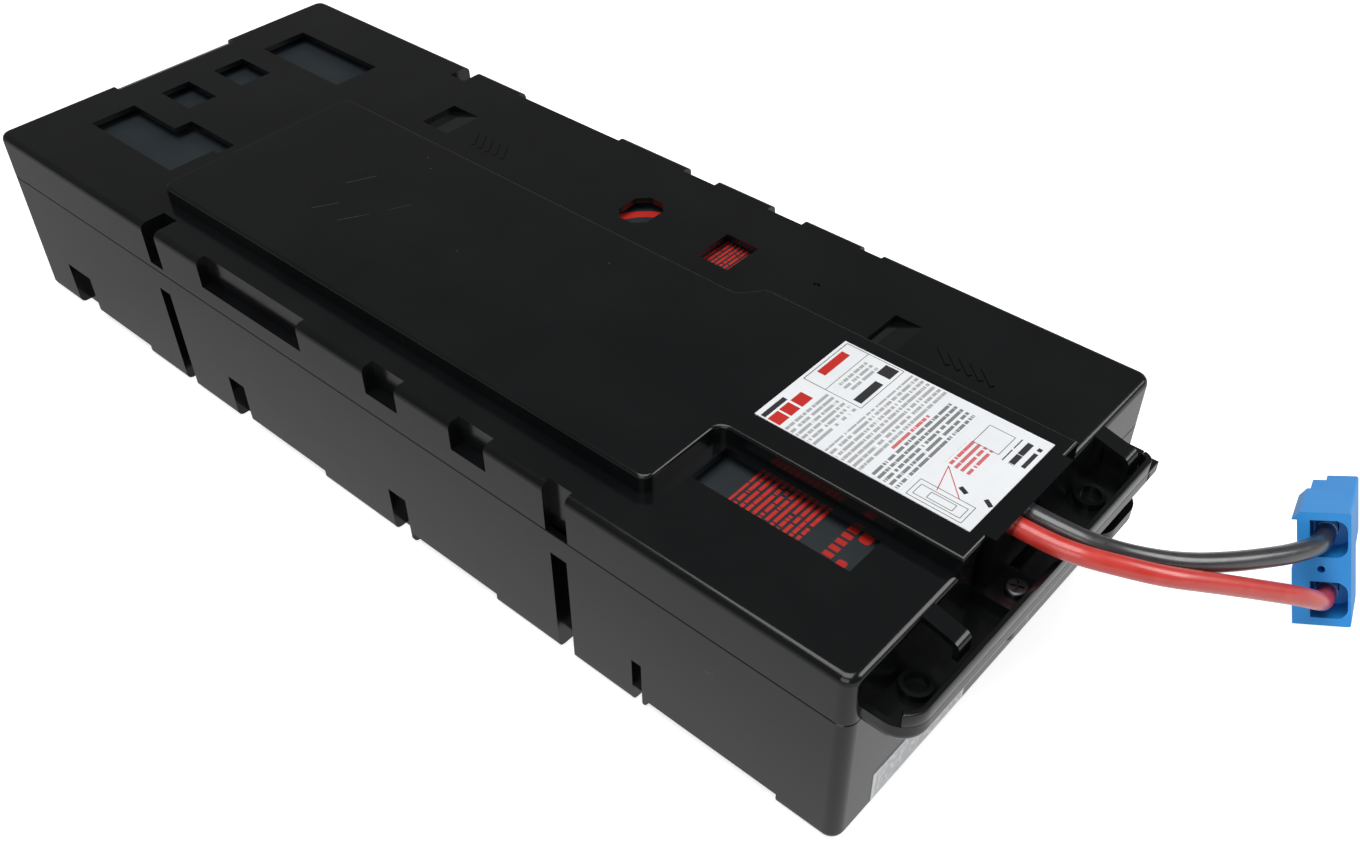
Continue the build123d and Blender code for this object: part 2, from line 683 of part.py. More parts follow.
# Labels: one on the raised channel, one low on the front wall
with BuildPart() as top_label:
    with BuildSketch(Plane.XY.offset(channel_z)):
        with Locations(((label_right - label_left) / 2 + 1.8, front_y + top_label_y)):
            Rectangle(top_label_width, top_label_length)
    extrude(amount=label_thickness)
finish(top_label, "top_label")

with BuildPart() as front_label:
    with BuildSketch(Plane((front_label_x, front_y, foot_height + front_label_rise + front_label_height / 2),
                           x_dir=(1, 0, 0), z_dir=(0, -1, 0))):
        Rectangle(front_label_length, front_label_height)
    extrude(amount=label_thickness)
finish(front_label, "front_label")
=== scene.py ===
"""Looks of a battery cartridge: moulded case, print on the blocks, labels, screw, leads and stage."""
import logging
import math
from dataclasses import dataclass
from enum import Enum
from typing import Callable, Iterable, Sequence

import bpy
from mathutils import Euler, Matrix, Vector


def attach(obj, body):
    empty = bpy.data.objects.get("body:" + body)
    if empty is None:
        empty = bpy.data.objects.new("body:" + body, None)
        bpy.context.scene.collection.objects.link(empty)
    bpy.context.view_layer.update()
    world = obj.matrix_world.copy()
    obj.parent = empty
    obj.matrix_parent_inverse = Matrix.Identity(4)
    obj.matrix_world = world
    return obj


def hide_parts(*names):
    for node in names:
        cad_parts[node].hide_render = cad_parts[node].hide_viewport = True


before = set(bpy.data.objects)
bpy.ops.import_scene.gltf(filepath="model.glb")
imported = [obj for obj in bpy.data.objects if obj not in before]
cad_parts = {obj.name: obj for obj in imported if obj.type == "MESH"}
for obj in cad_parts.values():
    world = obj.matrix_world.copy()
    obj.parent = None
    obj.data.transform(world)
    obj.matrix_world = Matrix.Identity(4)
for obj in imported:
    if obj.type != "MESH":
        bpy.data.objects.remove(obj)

MM = 0.001
WHITE = (1.0, 1.0, 1.0, 1.0)
Point = tuple[float, float, float]
Spot = tuple[float, float]
Colour = tuple[float, float, float]
Field = tuple[float, float, float, float]
Socket = bpy.types.NodeSocket

logging.basicConfig(level=logging.INFO, format="%(message)s")
log = logging.getLogger("cartridge")


class RowAxis(Enum):
    """The way in which the rows of a printed field follow each other."""

    ALONG_Y = "Y"
    ALONG_Z = "Z"


# Shader helper


NOISE_LOW, NOISE_HIGH = 0.3, 0.7
MIX_FIRST, MIX_SECOND, MIX_RESULT = 6, 7, 2


class Shader:
    """A material being wired up: adds nodes by kind and links their sockets."""

    def __init__(self, name: str) -> None:
        """Makes a node material with a plain surface.

        Args:
            name: The material's name.
        """
        self.material = bpy.data.materials.new(name)
        self.material.use_nodes = True
        self.tree = self.material.node_tree
        self.tree.nodes.clear()
        self.surface = self.add("ShaderNodeBsdfPrincipled")
        self.output = self.add("ShaderNodeOutputMaterial")
        self.link(self.surface.outputs["BSDF"], self.output.inputs["Surface"])
        self.coordinates = self.add("ShaderNodeTexCoord").outputs["Object"]

    def add(self, kind: str, **values: object) -> bpy.types.Node:
        """Adds a node.

        Args:
            kind: The node's type.
            **values: Attributes set on the node.

        Returns:
            The new node.
        """
        node = self.tree.nodes.new(kind)
        for key, value in values.items():
            setattr(node, key, value)
        return node

    def link(self, source: Socket, target: Socket) -> None:
        """Joins two sockets.

        Args:
            source: The output.
            target: The input.
        """
        self.tree.links.new(source, target)

    def noise(self, size: float, detail: float, stretch: Point = (1.0, 1.0, 1.0)) -> Socket:
        """Adds a noise pattern on the object's own coordinates.

        Args:
            size: Width of one blotch in millimetres.
            detail: Octaves of finer noise.
            stretch: Scale along each axis; a small number makes streaks along it.

        Returns:
            The noise value.
        """
        mapping = self.add("ShaderNodeMapping")
        mapping.inputs["Scale"].default_value = stretch
        self.link(self.coordinates, mapping.inputs["Vector"])
        pattern = self.add("ShaderNodeTexNoise")
        pattern.inputs["Scale"].default_value = 1.0 / (size * MM)
        pattern.inputs["Detail"].default_value = detail
        self.link(mapping.outputs["Vector"], pattern.inputs["Vector"])
        return pattern.outputs["Fac"]

    def span(self, value: Socket, low: float, high: float, to_low: float = 0.0,
             to_high: float = 1.0) -> Socket:
        """Maps a value from one range to another, clamped.

        Args:
            value: The value to map.
            low: Start of the range it comes in.
            high: End of the range it comes in.
            to_low: Result at the start.
            to_high: Result at the end.

        Returns:
            The mapped value.
        """
        node = self.add("ShaderNodeMapRange")
        limits = {"From Min": low, "From Max": high, "To Min": to_low, "To Max": to_high}
        for key, number in limits.items():
            node.inputs[key].default_value = number
        self.link(value, node.inputs["Value"])
        return node.outputs["Result"]

    def calculate(self, operation: str, first: Socket, second: Socket | float = 0.0) -> Socket:
        """Adds a sum on one or two values.

        Args:
            operation: The sum's name.
            first: The first value.
            second: The second value, a socket or a number.

        Returns:
            The result.
        """
        node = self.add("ShaderNodeMath", operation=operation)
        self.link(first, node.inputs[0])
        if isinstance(second, float):
            node.inputs[1].default_value = second
        else:
            self.link(second, node.inputs[1])
        return node.outputs["Value"]

    def paint(self, share: Socket, first: Colour, second: Colour) -> None:
        """Gives the surface two colours, mixed by a value.

        Args:
            share: Share of the second colour.
            first: The first colour.
            second: The second colour.
        """
        node = self.add("ShaderNodeMix", data_type="RGBA")
        self.link(share, node.inputs["Factor"])
        node.inputs[MIX_FIRST].default_value = (*first, 1.0)
        node.inputs[MIX_SECOND].default_value = (*second, 1.0)
        self.link(node.outputs[MIX_RESULT], self.surface.inputs["Base Color"])

    def roughen(self, pattern: Socket, least: float, most: float) -> None:
        """Varies the surface's roughness with a noise pattern.

        Args:
            pattern: The pattern.
            least: Roughness where the pattern is low.
            most: Roughness where it is high.
        """
        varied = self.span(pattern, NOISE_LOW, NOISE_HIGH, least, most)
        self.link(varied, self.surface.inputs["Roughness"])

    def bump(self, height: Socket, strength: float, depth: float) -> None:
        """Lets a pattern raise the surface.

        Args:
            height: The pattern.
            strength: Share of the effect.
            depth: Height of the pattern in millimetres.
        """
        node = self.add("ShaderNodeBump")
        node.inputs["Strength"].default_value = strength
        node.inputs["Distance"].default_value = depth * MM
        self.link(height, node.inputs["Height"])
        self.link(node.outputs["Normal"], self.surface.inputs["Normal"])

    def glow(self, strength: Socket) -> Socket:
        """Adds a plain white light.

        Args:
            strength: Its strength.

        Returns:
            The light.
        """
        node = self.add("ShaderNodeEmission")
        node.inputs["Color"].default_value = WHITE
        self.link(strength, node.inputs["Strength"])
        return node.outputs["Emission"]


# Finishes


@dataclass(frozen=True)
class MouldedPlastic:
    """Injection-moulded plastic with a fine grain and a cloudy gloss."""

    name: str
    colour: Colour
    cloud: Colour
    roughness: float
    grain: float
    grain_depth: float
    cloud_size: float = 38.0
    gloss_size: float = 9.0
    grain_strength: float = 0.35

    def material(self) -> bpy.types.Material:
        """Returns the finished material."""
        shader = Shader(self.name)
        shader.paint(shader.span(shader.noise(self.cloud_size, 3.0), 0.35, 0.7),
                     self.colour, self.cloud)
        shader.roughen(shader.noise(self.gloss_size, 4.0),
                       self.roughness - 0.02, self.roughness + 0.03)
        shader.bump(shader.noise(self.grain, 3.0), self.grain_strength, self.grain_depth)
        return shader.material


@dataclass(frozen=True)
class Sheath:
    """Smooth cable insulation, a little uneven along its length."""

    name: str
    colour: Colour
    worn: Colour
    roughness: float
    coat: float = 0.6
    coat_roughness: float = 0.15
    shine: float = 0.8

    def material(self) -> bpy.types.Material:
        """Returns the finished material."""
        shader = Shader(self.name)
        shader.paint(shader.span(shader.noise(7.0, 3.0), 0.4, 0.75), self.colour, self.worn)
        shader.roughen(shader.noise(2.5, 3.0), self.roughness - 0.04, self.roughness + 0.08)
        shader.surface.inputs["Coat Weight"].default_value = self.coat
        shader.surface.inputs["Coat Roughness"].default_value = self.coat_roughness
        shader.surface.inputs["Specular IOR Level"].default_value = self.shine
        shader.bump(shader.noise(1.3, 2.0), 0.25, 0.05)
        return shader.material


@dataclass(frozen=True)
class PressedMetal:
    """Plated or blackened metal with fine drawn lines and dull patches."""

    name: str
    colour: Colour
    dull: Colour
    roughness: float
    line_stretch: Point = (1.0, 0.12, 1.0)

    def material(self) -> bpy.types.Material:
        """Returns the finished material."""
        shader = Shader(self.name)
        shader.paint(shader.span(shader.noise(3.0, 3.0), 0.35, 0.7), self.colour, self.dull)
        lines = shader.noise(0.25, 2.0, self.line_stretch)
        shader.roughen(lines, self.roughness - 0.08, self.roughness + 0.1)
        shader.surface.inputs["Metallic"].default_value = 1.0
        shader.bump(lines, 0.2, 0.02)
        return shader.material


@dataclass(frozen=True)
class LabelStock:
    """Coated white label paper with a faint fibre."""

    name: str
    colour: Colour = (0.88, 0.90, 0.92)
    shade: Colour = (0.83, 0.85, 0.87)
    least_roughness: float = 0.32
    most_roughness: float = 0.44

    def material(self) -> bpy.types.Material:
        """Returns the finished material."""
        shader = Shader(self.name)
        shader.paint(shader.span(shader.noise(14.0, 4.0), 0.35, 0.75), self.colour, self.shade)
        shader.roughen(shader.noise(2.0, 3.0), self.least_roughness, self.most_roughness)
        shader.bump(shader.noise(0.7, 3.0), 0.2, 0.02)
        return shader.material


@dataclass(frozen=True)
class PrintedRows:
    """Rows of small wordless dashes on a ground, like print that is too small to read."""

    name: str
    ink: Colour
    ground: Colour
    pitch: float
    dash: float
    filled: float
    axis: RowAxis = RowAxis.ALONG_Y
    roughness: float = 0.4
    gap: float = 0.46
    row_shift: float = 17.3

    def material(self) -> bpy.types.Material:
        """Returns the finished material."""
        shader = Shader(self.name)
        split = shader.add("ShaderNodeSeparateXYZ")
        shader.link(shader.coordinates, split.inputs["Vector"])
        row = shader.calculate("DIVIDE", split.outputs[self.axis.value], self.pitch * MM)
        in_row = shader.calculate("GREATER_THAN", shader.calculate("FRACT", row), self.gap)
        along = shader.calculate("DIVIDE", split.outputs["X"], self.dash * MM)
        shifted = shader.calculate("MULTIPLY", shader.calculate("FLOOR", row), self.row_shift)
        place = shader.add("ShaderNodeCombineXYZ")
        shader.link(along, place.inputs["X"])
        shader.link(shifted, place.inputs["Y"])
        marks = shader.add("ShaderNodeTexNoise")
        marks.inputs["Scale"].default_value = 1.0
        marks.inputs["Detail"].default_value = 1.0
        shader.link(place.outputs["Vector"], marks.inputs["Vector"])
        dashes = shader.calculate("GREATER_THAN", marks.outputs["Fac"], 1.0 - self.filled)
        shader.paint(shader.calculate("MULTIPLY", in_row, dashes), self.ground, self.ink)
        shader.roughen(shader.noise(2.0, 3.0), self.roughness - 0.05, self.roughness + 0.08)
        shader.bump(shader.noise(0.7, 3.0), 0.15, 0.02)
        return shader.material


Finish = MouldedPlastic | Sheath | PressedMetal | LabelStock | PrintedRows

LABEL_GROUND = (0.87, 0.89, 0.91)
BLOCK_GROUND = (0.016, 0.023, 0.028)
PRINT_RED = (0.62, 0.025, 0.018)
PRINT_GREY = (0.42, 0.42, 0.43)

CASE_BLACK = MouldedPlastic("case_black", (0.0034, 0.0038, 0.0043), (0.0052, 0.0057, 0.0061),
                            roughness=0.17, grain=0.55, grain_depth=0.010)
TRAY_BLACK = MouldedPlastic("tray_black", (0.0028, 0.0030, 0.0034), (0.0048, 0.0050, 0.0053),
                            roughness=0.16, grain=0.7, grain_depth=0.010)
SCUFF_GREY = MouldedPlastic("scuff_grey", (0.060, 0.062, 0.064), (0.030, 0.031, 0.032),
                            roughness=0.45, grain=0.4, grain_depth=0.01)
BLOCK_GREY = MouldedPlastic("block_grey", (0.014, 0.020, 0.025), (0.019, 0.026, 0.031),
                            roughness=0.50, grain=0.5, grain_depth=0.02)
CLEAR_NYLON = MouldedPlastic("clear_nylon", (0.62, 0.61, 0.56), (0.55, 0.54, 0.49),
                             roughness=0.45, grain=0.8, grain_depth=0.02)
PLUG_BLUE = MouldedPlastic("plug_blue", (0.016, 0.30, 0.82), (0.024, 0.34, 0.86),
                           roughness=0.46, grain=0.35, grain_depth=0.03)
RED_INK = MouldedPlastic("red_ink", PRINT_RED, (0.50, 0.02, 0.015),
                         roughness=0.45, grain=0.4, grain_depth=0.01)
GREY_INK = MouldedPlastic("grey_ink", (0.16, 0.16, 0.17), (0.20, 0.20, 0.21),
                          roughness=0.45, grain=0.4, grain_depth=0.01)
DARK_INK = MouldedPlastic("dark_ink", (0.025, 0.025, 0.028), (0.035, 0.035, 0.038),
                          roughness=0.45, grain=0.4, grain_depth=0.01)
RED_SHEATH = Sheath("red_sheath", (0.62, 0.030, 0.022), (0.70, 0.055, 0.040), 0.34)
BLACK_SHEATH = Sheath("black_sheath", (0.030, 0.031, 0.034), (0.045, 0.046, 0.050), 0.30)
TIN_PLATE = PressedMetal("tin_plate", (0.70, 0.69, 0.66), (0.55, 0.54, 0.51), 0.32)
SILVER_PLATE = PressedMetal("silver_plate", (0.78, 0.77, 0.74), (0.62, 0.60, 0.57), 0.28)
SCREW_STEEL = PressedMetal("screw_steel", (0.10, 0.10, 0.11), (0.05, 0.05, 0.05), 0.34)
PAPER = LabelStock("label_paper")
GREY_ROWS = PrintedRows("grey_rows", PRINT_GREY, LABEL_GROUND,
                        pitch=2.08, dash=0.95, filled=0.58)
DARK_ROWS = PrintedRows("dark_rows", (0.22, 0.22, 0.23), LABEL_GROUND,
                        pitch=2.08, dash=1.2, filled=0.58)
BOLD_ROWS = PrintedRows("bold_rows", (0.035, 0.035, 0.04), LABEL_GROUND,
                        pitch=3.7, dash=2.2, filled=0.62)
RED_ROWS = PrintedRows("red_rows", (0.66, 0.16, 0.17), LABEL_GROUND,
                       pitch=2.08, dash=1.3, filled=0.60)
FRONT_ROWS = PrintedRows("front_rows", PRINT_GREY, LABEL_GROUND,
                         pitch=1.7, dash=1.2, filled=0.56, axis=RowAxis.ALONG_Z)
BLOCK_ROWS = PrintedRows("block_rows", PRINT_RED, BLOCK_GROUND,
                         pitch=2.3, dash=1.05, filled=0.62, roughness=0.5)
FINE_BLOCK_ROWS = PrintedRows("fine_block_rows", PRINT_RED, BLOCK_GROUND,
                              pitch=1.9, dash=1.0, filled=0.62, roughness=0.5)


# Modelling helpers


def deselect() -> None:
    """Leaves object mode with nothing selected."""
    if bpy.context.mode != "OBJECT":
        bpy.ops.object.mode_set(mode="OBJECT")
    bpy.ops.object.select_all(action="DESELECT")


def pick(piece: bpy.types.Object) -> None:
    """Selects one piece alone and makes it the active one.

    Args:
        piece: The piece.
    """
    deselect()
    piece.select_set(True)
    bpy.context.view_layer.objects.active = piece


def smooth(piece: bpy.types.Object, angle: float) -> None:
    """Shades a piece smoothly where its faces meet at a small angle.

    Args:
        piece: The piece.
        angle: The largest angle that is smoothed, in degrees.
    """
    pick(piece)
    bpy.ops.object.shade_smooth_by_angle(angle=math.radians(angle))


def settle(piece: bpy.types.Object, name: str, finish: bpy.types.Material) -> bpy.types.Object:
    """Bakes a piece's place into its mesh, dresses it and lets it ride on the frame.

    Args:
        piece: The new object.
        name: Its name.
        finish: Its material.

    Returns:
        The same object.
    """
    pick(piece)
    bpy.ops.object.transform_apply(location=True, rotation=True, scale=True)
    piece.name = name
    piece.data.name = name
    piece.data.materials.clear()
    piece.data.materials.append(finish)
    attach(piece, "root")
    log.info("%s: %d faces", name, len(piece.data.polygons))
    return piece


def joined(pieces: Sequence[bpy.types.Object]) -> bpy.types.Object:
    """Joins several objects into the first one.

    Args:
        pieces: The objects.

    Returns:
        The joined object.
    """
    deselect()
    for piece in pieces:
        piece.select_set(True)
    bpy.context.view_layer.objects.active = pieces[0]
    bpy.ops.object.join()
    return pieces[0]


def box(centre: Point, size: Point, turn: float = 0.0) -> bpy.types.Object:
    """Makes one box.

    Args:
        centre: Its centre in millimetres.
        size: Its length along each axis.
        turn: Its turn about Z in radians.

    Returns:
        The box.
    """
    deselect()
    bpy.ops.mesh.primitive_cube_add(size=1.0, location=[value * MM for value in centre],
                                    rotation=(0.0, 0.0, turn),
                                    scale=[value * MM for value in size])
    bpy.ops.object.transform_apply(location=False, rotation=True, scale=True)
    return bpy.context.active_object


def bevel_chosen(piece: bpy.types.Object, kind: str, chosen: Callable[[object], bool],
                 width: float) -> None:
    """Rounds the edges of the parts of a piece that pass a test.

    Args:
        piece: The piece, the active one.
        kind: The parts looked at, EDGE or FACE.
        chosen: The test.
        width: Width of the rounding in millimetres.
    """
    bpy.ops.object.mode_set(mode="EDIT")
    bpy.ops.mesh.select_mode(type=kind)
    bpy.ops.mesh.select_all(action="DESELECT")
    bpy.ops.object.mode_set(mode="OBJECT")
    for part in piece.data.edges if kind == "EDGE" else piece.data.polygons:
        part.select = chosen(part)
    bpy.ops.object.mode_set(mode="EDIT")
    bpy.ops.mesh.bevel(offset=width * MM, segments=4, affect="EDGES")
    bpy.ops.object.mode_set(mode="OBJECT")


def plate(field: Field, z: float, thickness: float, round_by: float = 0.0) -> bpy.types.Object:
    """Makes one thin flat plate, its corners cut round where asked.

    Args:
        field: Its left, right, front and back edges in millimetres.
        z: Height of its underside.
        thickness: Its thickness.
        round_by: Its corners' radius.

    Returns:
        The plate.
    """
    x0, x1, y0, y1 = field
    body = box(((x0 + x1) / 2, (y0 + y1) / 2, z + thickness / 2), (x1 - x0, y1 - y0, thickness))
    if round_by:
        def upright(edge: bpy.types.MeshEdge) -> bool:
            low, high = (body.data.vertices[i].co for i in edge.vertices)
            return abs(low.z - high.z) > thickness * MM / 2

        bevel_chosen(body, "EDGE", upright, round_by)
    return body


def stroke(start: Spot, end: Spot, z: float, width: float, thickness: float) -> bpy.types.Object:
    """Makes one thin straight line on a level face.

    Args:
        start: Its one end, X and Y in millimetres.
        end: Its other end.
        z: Height of the face.
        width: Width of the line.
        thickness: Its thickness above the face.

    Returns:
        The line.
    """
    along = Vector((end[0] - start[0], end[1] - start[1], 0.0))
    centre = ((start[0] + end[0]) / 2, (start[1] + end[1]) / 2, z + thickness / 2)
    return box(centre, (along.length, width, thickness), math.atan2(along.y, along.x))


# Sub-assemblies


@dataclass
class PhotoCamera:
    """A pinhole camera at the photograph's viewing angle."""

    place: Point = (-0.27430, -0.31775, 0.35743)
    turn: Point = (48.326, 0.3424, -48.9091)
    lens: float = 36.401
    sensor: float = 36.0
    nearest: float = 0.01

    def build(self) -> bpy.types.Object:
        """Builds the camera and makes it the scene's own.

        Returns:
            The camera.
        """
        data = bpy.data.cameras.new("photo_camera")
        data.lens = self.lens
        data.sensor_width = self.sensor
        data.clip_start = self.nearest
        camera = bpy.data.objects.new("photo_camera", data)
        camera.location = self.place
        camera.rotation_euler = Euler([math.radians(angle) for angle in self.turn])
        bpy.context.scene.collection.objects.link(camera)
        bpy.context.scene.camera = camera
        return camera


@dataclass
class Lead:
    """One free lead from the outlet to the plug, its control points in millimetres."""

    name: str
    points: list[Point]
    length: float
    finish: Sheath
    slot_name: str
    node: str
    on_it: list[str]
    diameter: float = 6.2
    steps_along: int = 12
    steps_round: int = 8

    def build(self) -> bpy.types.Object:
        """Returns:
            The lead.
        """
        data = bpy.data.curves.new(self.name, "CURVE")
        data.dimensions = "3D"
        spline = data.splines.new("NURBS")
        spline.points.add(len(self.points) - 1)
        for control, point in zip(spline.points, self.points):
            control.co = (*(value * MM for value in point), 1.0)
        spline.order_u = 3
        spline.use_endpoint_u = True
        spline.resolution_u = self.steps_along
        data.bevel_depth = self.diameter / 2 * MM
        data.bevel_resolution = self.steps_round
        data.use_fill_caps = True
        lead = bpy.data.objects.new(self.name, data)
        bpy.context.scene.collection.objects.link(lead)
        data.materials.append(self.finish.material())
        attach(lead, "root")
        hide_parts(self.node)
        log.info("%s: lead of %.0f mm", self.name, self.length)
        return lead


@dataclass(frozen=True)
class Lamp:
    """One soft square lamp, its places and width in metres."""

    name: str
    place: Point
    target: Point
    size: float
    watts: float

    def build(self) -> None:
        """Adds the lamp to the scene, turned to its target."""
        data = bpy.data.lights.new(self.name, "AREA")
        data.size = self.size
        data.energy = self.watts
        light = bpy.data.objects.new(self.name, data)
        light.location = self.place
        aim = Vector(self.target) - Vector(self.place)
        light.rotation_euler = aim.to_track_quat("-Z", "Y").to_euler()
        bpy.context.scene.collection.objects.link(light)


@dataclass
class Stage:
    """Plain pale floor, even world light and soft studio lamps."""

    half_size: float = 6.0
    below_feet: float = 0.0002
    floor_grey: float = 0.80
    floor_roughness: float = 0.9
    daylight: float = 0.13
    camera_glow: float = 0.72
    # Painted reflection glow: strength that glossy rays see on the floor, dim at the back left, bright
    # at the front right.
    reflection_glow_back: float = 0.38
    reflection_glow_front: float = 0.76
    reflection_glow_from: float = -0.30
    reflection_glow_to: float = 0.20
    lamps: tuple[Lamp, ...] = (
        Lamp("overhead", (-0.2, -0.1, 1.5), (0.0, 0.0, 0.0), size=1.2, watts=16.5),
        Lamp("left_side", (-1.3, -0.5, 0.7), (0.0, 0.0, 0.02), size=1.0, watts=6.0),
        Lamp("front_right", (0.9, -1.2, 0.9), (0.0, -0.1, 0.02), size=0.8, watts=8.5),
    )

    def build(self) -> None:
        """Builds the floor, the world and the lamps."""
        deselect()
        bpy.ops.mesh.primitive_plane_add(size=2 * self.half_size,
                                         location=(0.0, 0.0, -self.below_feet))
        floor = bpy.context.active_object
        floor.name = "floor"
        floor.data.materials.append(self.floor_finish())
        self.sky()
        for lamp in self.lamps:
            lamp.build()

    def floor_finish(self) -> bpy.types.Material:
        """Makes the floor: pale with the object's shadow to the camera, while glossy rays see a painted
        reflection glow, brighter towards the front right, in place of the lit floor.

        Returns:
            The floor's material.
        """
        shader = Shader("floor_white")
        grey = self.floor_grey
        shader.surface.inputs["Base Color"].default_value = (grey, grey, grey, 1.0)
        shader.surface.inputs["Roughness"].default_value = self.floor_roughness
        ray = shader.add("ShaderNodeLightPath").outputs
        seen = shader.calculate("MULTIPLY", ray["Is Camera Ray"], self.camera_glow)
        total = shader.add("ShaderNodeAddShader")
        shader.link(shader.surface.outputs["BSDF"], total.inputs[0])
        shader.link(shader.glow(seen), total.inputs[1])
        # Painted reflection: glossy rays see a plain glow growing towards the front right, not the lit
        # floor with its shadow.
        place = shader.add("ShaderNodeSeparateXYZ")
        shader.link(shader.coordinates, place.inputs["Vector"])
        front_right = shader.calculate("SUBTRACT", place.outputs["X"], place.outputs["Y"])
        reflection_glow = shader.span(front_right, self.reflection_glow_from, self.reflection_glow_to,
                               self.reflection_glow_back, self.reflection_glow_front)
        choice = shader.add("ShaderNodeMixShader")
        shader.link(ray["Is Glossy Ray"], choice.inputs["Fac"])
        shader.link(total.outputs["Shader"], choice.inputs[1])
        shader.link(shader.glow(reflection_glow), choice.inputs[2])
        shader.link(choice.outputs["Shader"], shader.output.inputs["Surface"])
        return shader.material

    def sky(self) -> None:
        """Makes the world: a dim even light, shown to the camera as plain white."""
        world = bpy.data.worlds.new("studio")
        world.use_nodes = True
        tree = world.node_tree
        lighting = tree.nodes["Background"]
        lighting.inputs["Color"].default_value = WHITE
        lighting.inputs["Strength"].default_value = self.daylight
        seen = tree.nodes.new("ShaderNodeBackground")
        seen.inputs["Color"].default_value = WHITE
        seen.inputs["Strength"].default_value = 1.0
        ray = tree.nodes.new("ShaderNodeLightPath")
        choice = tree.nodes.new("ShaderNodeMixShader")
        tree.links.new(ray.outputs["Is Camera Ray"], choice.inputs["Fac"])
        tree.links.new(lighting.outputs["Background"], choice.inputs[1])
        tree.links.new(seen.outputs["Background"], choice.inputs[2])
        tree.links.new(choice.outputs["Shader"], tree.nodes["World Output"].inputs["Surface"])
        bpy.context.scene.world = world


@dataclass
class Moulding:
    """The CAD nodes, which keep their shape and only get their finish, by a part of their name."""

    finishes: tuple[tuple[str, Finish], ...] = (
        ("contact", SILVER_PLATE),
        ("top_cover", CASE_BLACK),
        ("bottom_tray", TRAY_BLACK),
        ("terminal", TIN_PLATE),
        ("battery", BLOCK_GREY),
        ("receptacle", CLEAR_NYLON),
        ("red", RED_SHEATH),
        ("black", BLACK_SHEATH),
        ("jumper", BLACK_SHEATH),
        ("screw", SCREW_STEEL),
        ("label", PAPER),
        ("housing", PLUG_BLUE),
    )

    def dress(self) -> None:
        """Gives every CAD node its material."""
        made: dict[str, bpy.types.Material] = {}
        for name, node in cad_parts.items():
            finish = next(finish for key, finish in self.finishes if key in name)
            if finish.name not in made:
                made[finish.name] = finish.material()
            node.data.materials.clear()
            node.data.materials.append(made[finish.name])
        log.info("dressed %d nodes", len(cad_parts))


@dataclass
class BasinRim:
    """The tall front wall of the cable basin: it stands on the moulded lip and turns in at the right."""

    left: float = -78.0
    right: float = 56.0
    front: float = -223.0
    back: float = -207.0
    left_corner: float = 9.0
    right_corner: float = 4.0
    thickness: float = 2.0
    floor: float = 56.2
    lip: float = 61.4
    top: float = 66.6
    end_drop: float = 0.2
    end_corner: float = 0.4
    edge: float = 0.4
    edge_angle: float = 40.0
    smooth_angle: float = 35.0
    arc_steps: int = 10

    def route(self) -> list[Spot]:
        """Returns the wall's middle line, from the left corner to the start of the right end."""
        half = self.thickness / 2
        points = self.arc(self.left + self.left_corner, self.left_corner - half, 212.0, 270.0)
        points += self.arc(self.right - self.right_corner, self.right_corner - half, 270.0, 358.0)
        return points

    def arc(self, middle_x: float, radius: float, start: float, end: float) -> list[Spot]:
        """Returns points on one corner's arc.

        Args:
            middle_x: The arc's middle.
            radius: Its radius.
            start: Its first angle in degrees.
            end: Its last angle.

        Returns:
            The points, X and Y in millimetres.
        """
        middle_y = self.front + radius + self.thickness / 2
        turns = [math.radians(start + (end - start) * step / self.arc_steps)
                 for step in range(self.arc_steps + 1)]
        return [(middle_x + radius * math.cos(turn), middle_y + radius * math.sin(turn))
                for turn in turns]

    def build(self) -> None:
        """Builds the curved wall by extrusion and adds its straight right end."""
        finish = CASE_BLACK.material()
        wall = self.ribbon()
        self.thicken(wall)
        settle(wall, "basin_rim", finish)
        smooth(wall, self.smooth_angle)
        end = plate((self.right - self.thickness, self.right, self.front + self.right_corner,
                     self.back), self.floor, self.top - self.floor - self.end_drop,
                    self.end_corner)
        settle(end, "basin_rim_end", finish)

    def ribbon(self) -> bpy.types.Object:
        """Returns the wall as an upright ribbon without thickness, picked."""
        data = bpy.data.curves.new("basin_rim", "CURVE")
        data.dimensions = "2D"
        data.fill_mode = "NONE"
        data.extrude = (self.top - self.lip) / 2 * MM
        spline = data.splines.new("POLY")
        points = self.route()
        spline.points.add(len(points) - 1)
        for control, (x, y) in zip(spline.points, points):
            control.co = (x * MM, y * MM, 0.0, 1.0)
        wall = bpy.data.objects.new("basin_rim", data)
        wall.location.z = (self.top + self.lip) / 2 * MM
        bpy.context.scene.collection.objects.link(wall)
        pick(wall)
        bpy.ops.object.convert(target="MESH")
        return bpy.context.active_object

    def thicken(self, wall: bpy.types.Object) -> None:
        """Gives the ribbon its thickness and its rounded edges.

        Args:
            wall: The ribbon.
        """
        solid = wall.modifiers.new("thickness", "SOLIDIFY")
        solid.thickness = self.thickness * MM
        solid.offset = 0.0
        bpy.ops.object.modifier_apply(modifier=solid.name)
        edges = wall.modifiers.new("edges", "BEVEL")
        edges.width = self.edge * MM
        edges.segments = 3
        edges.angle_limit = math.radians(self.edge_angle)
        bpy.ops.object.modifier_apply(modifier=edges.name)


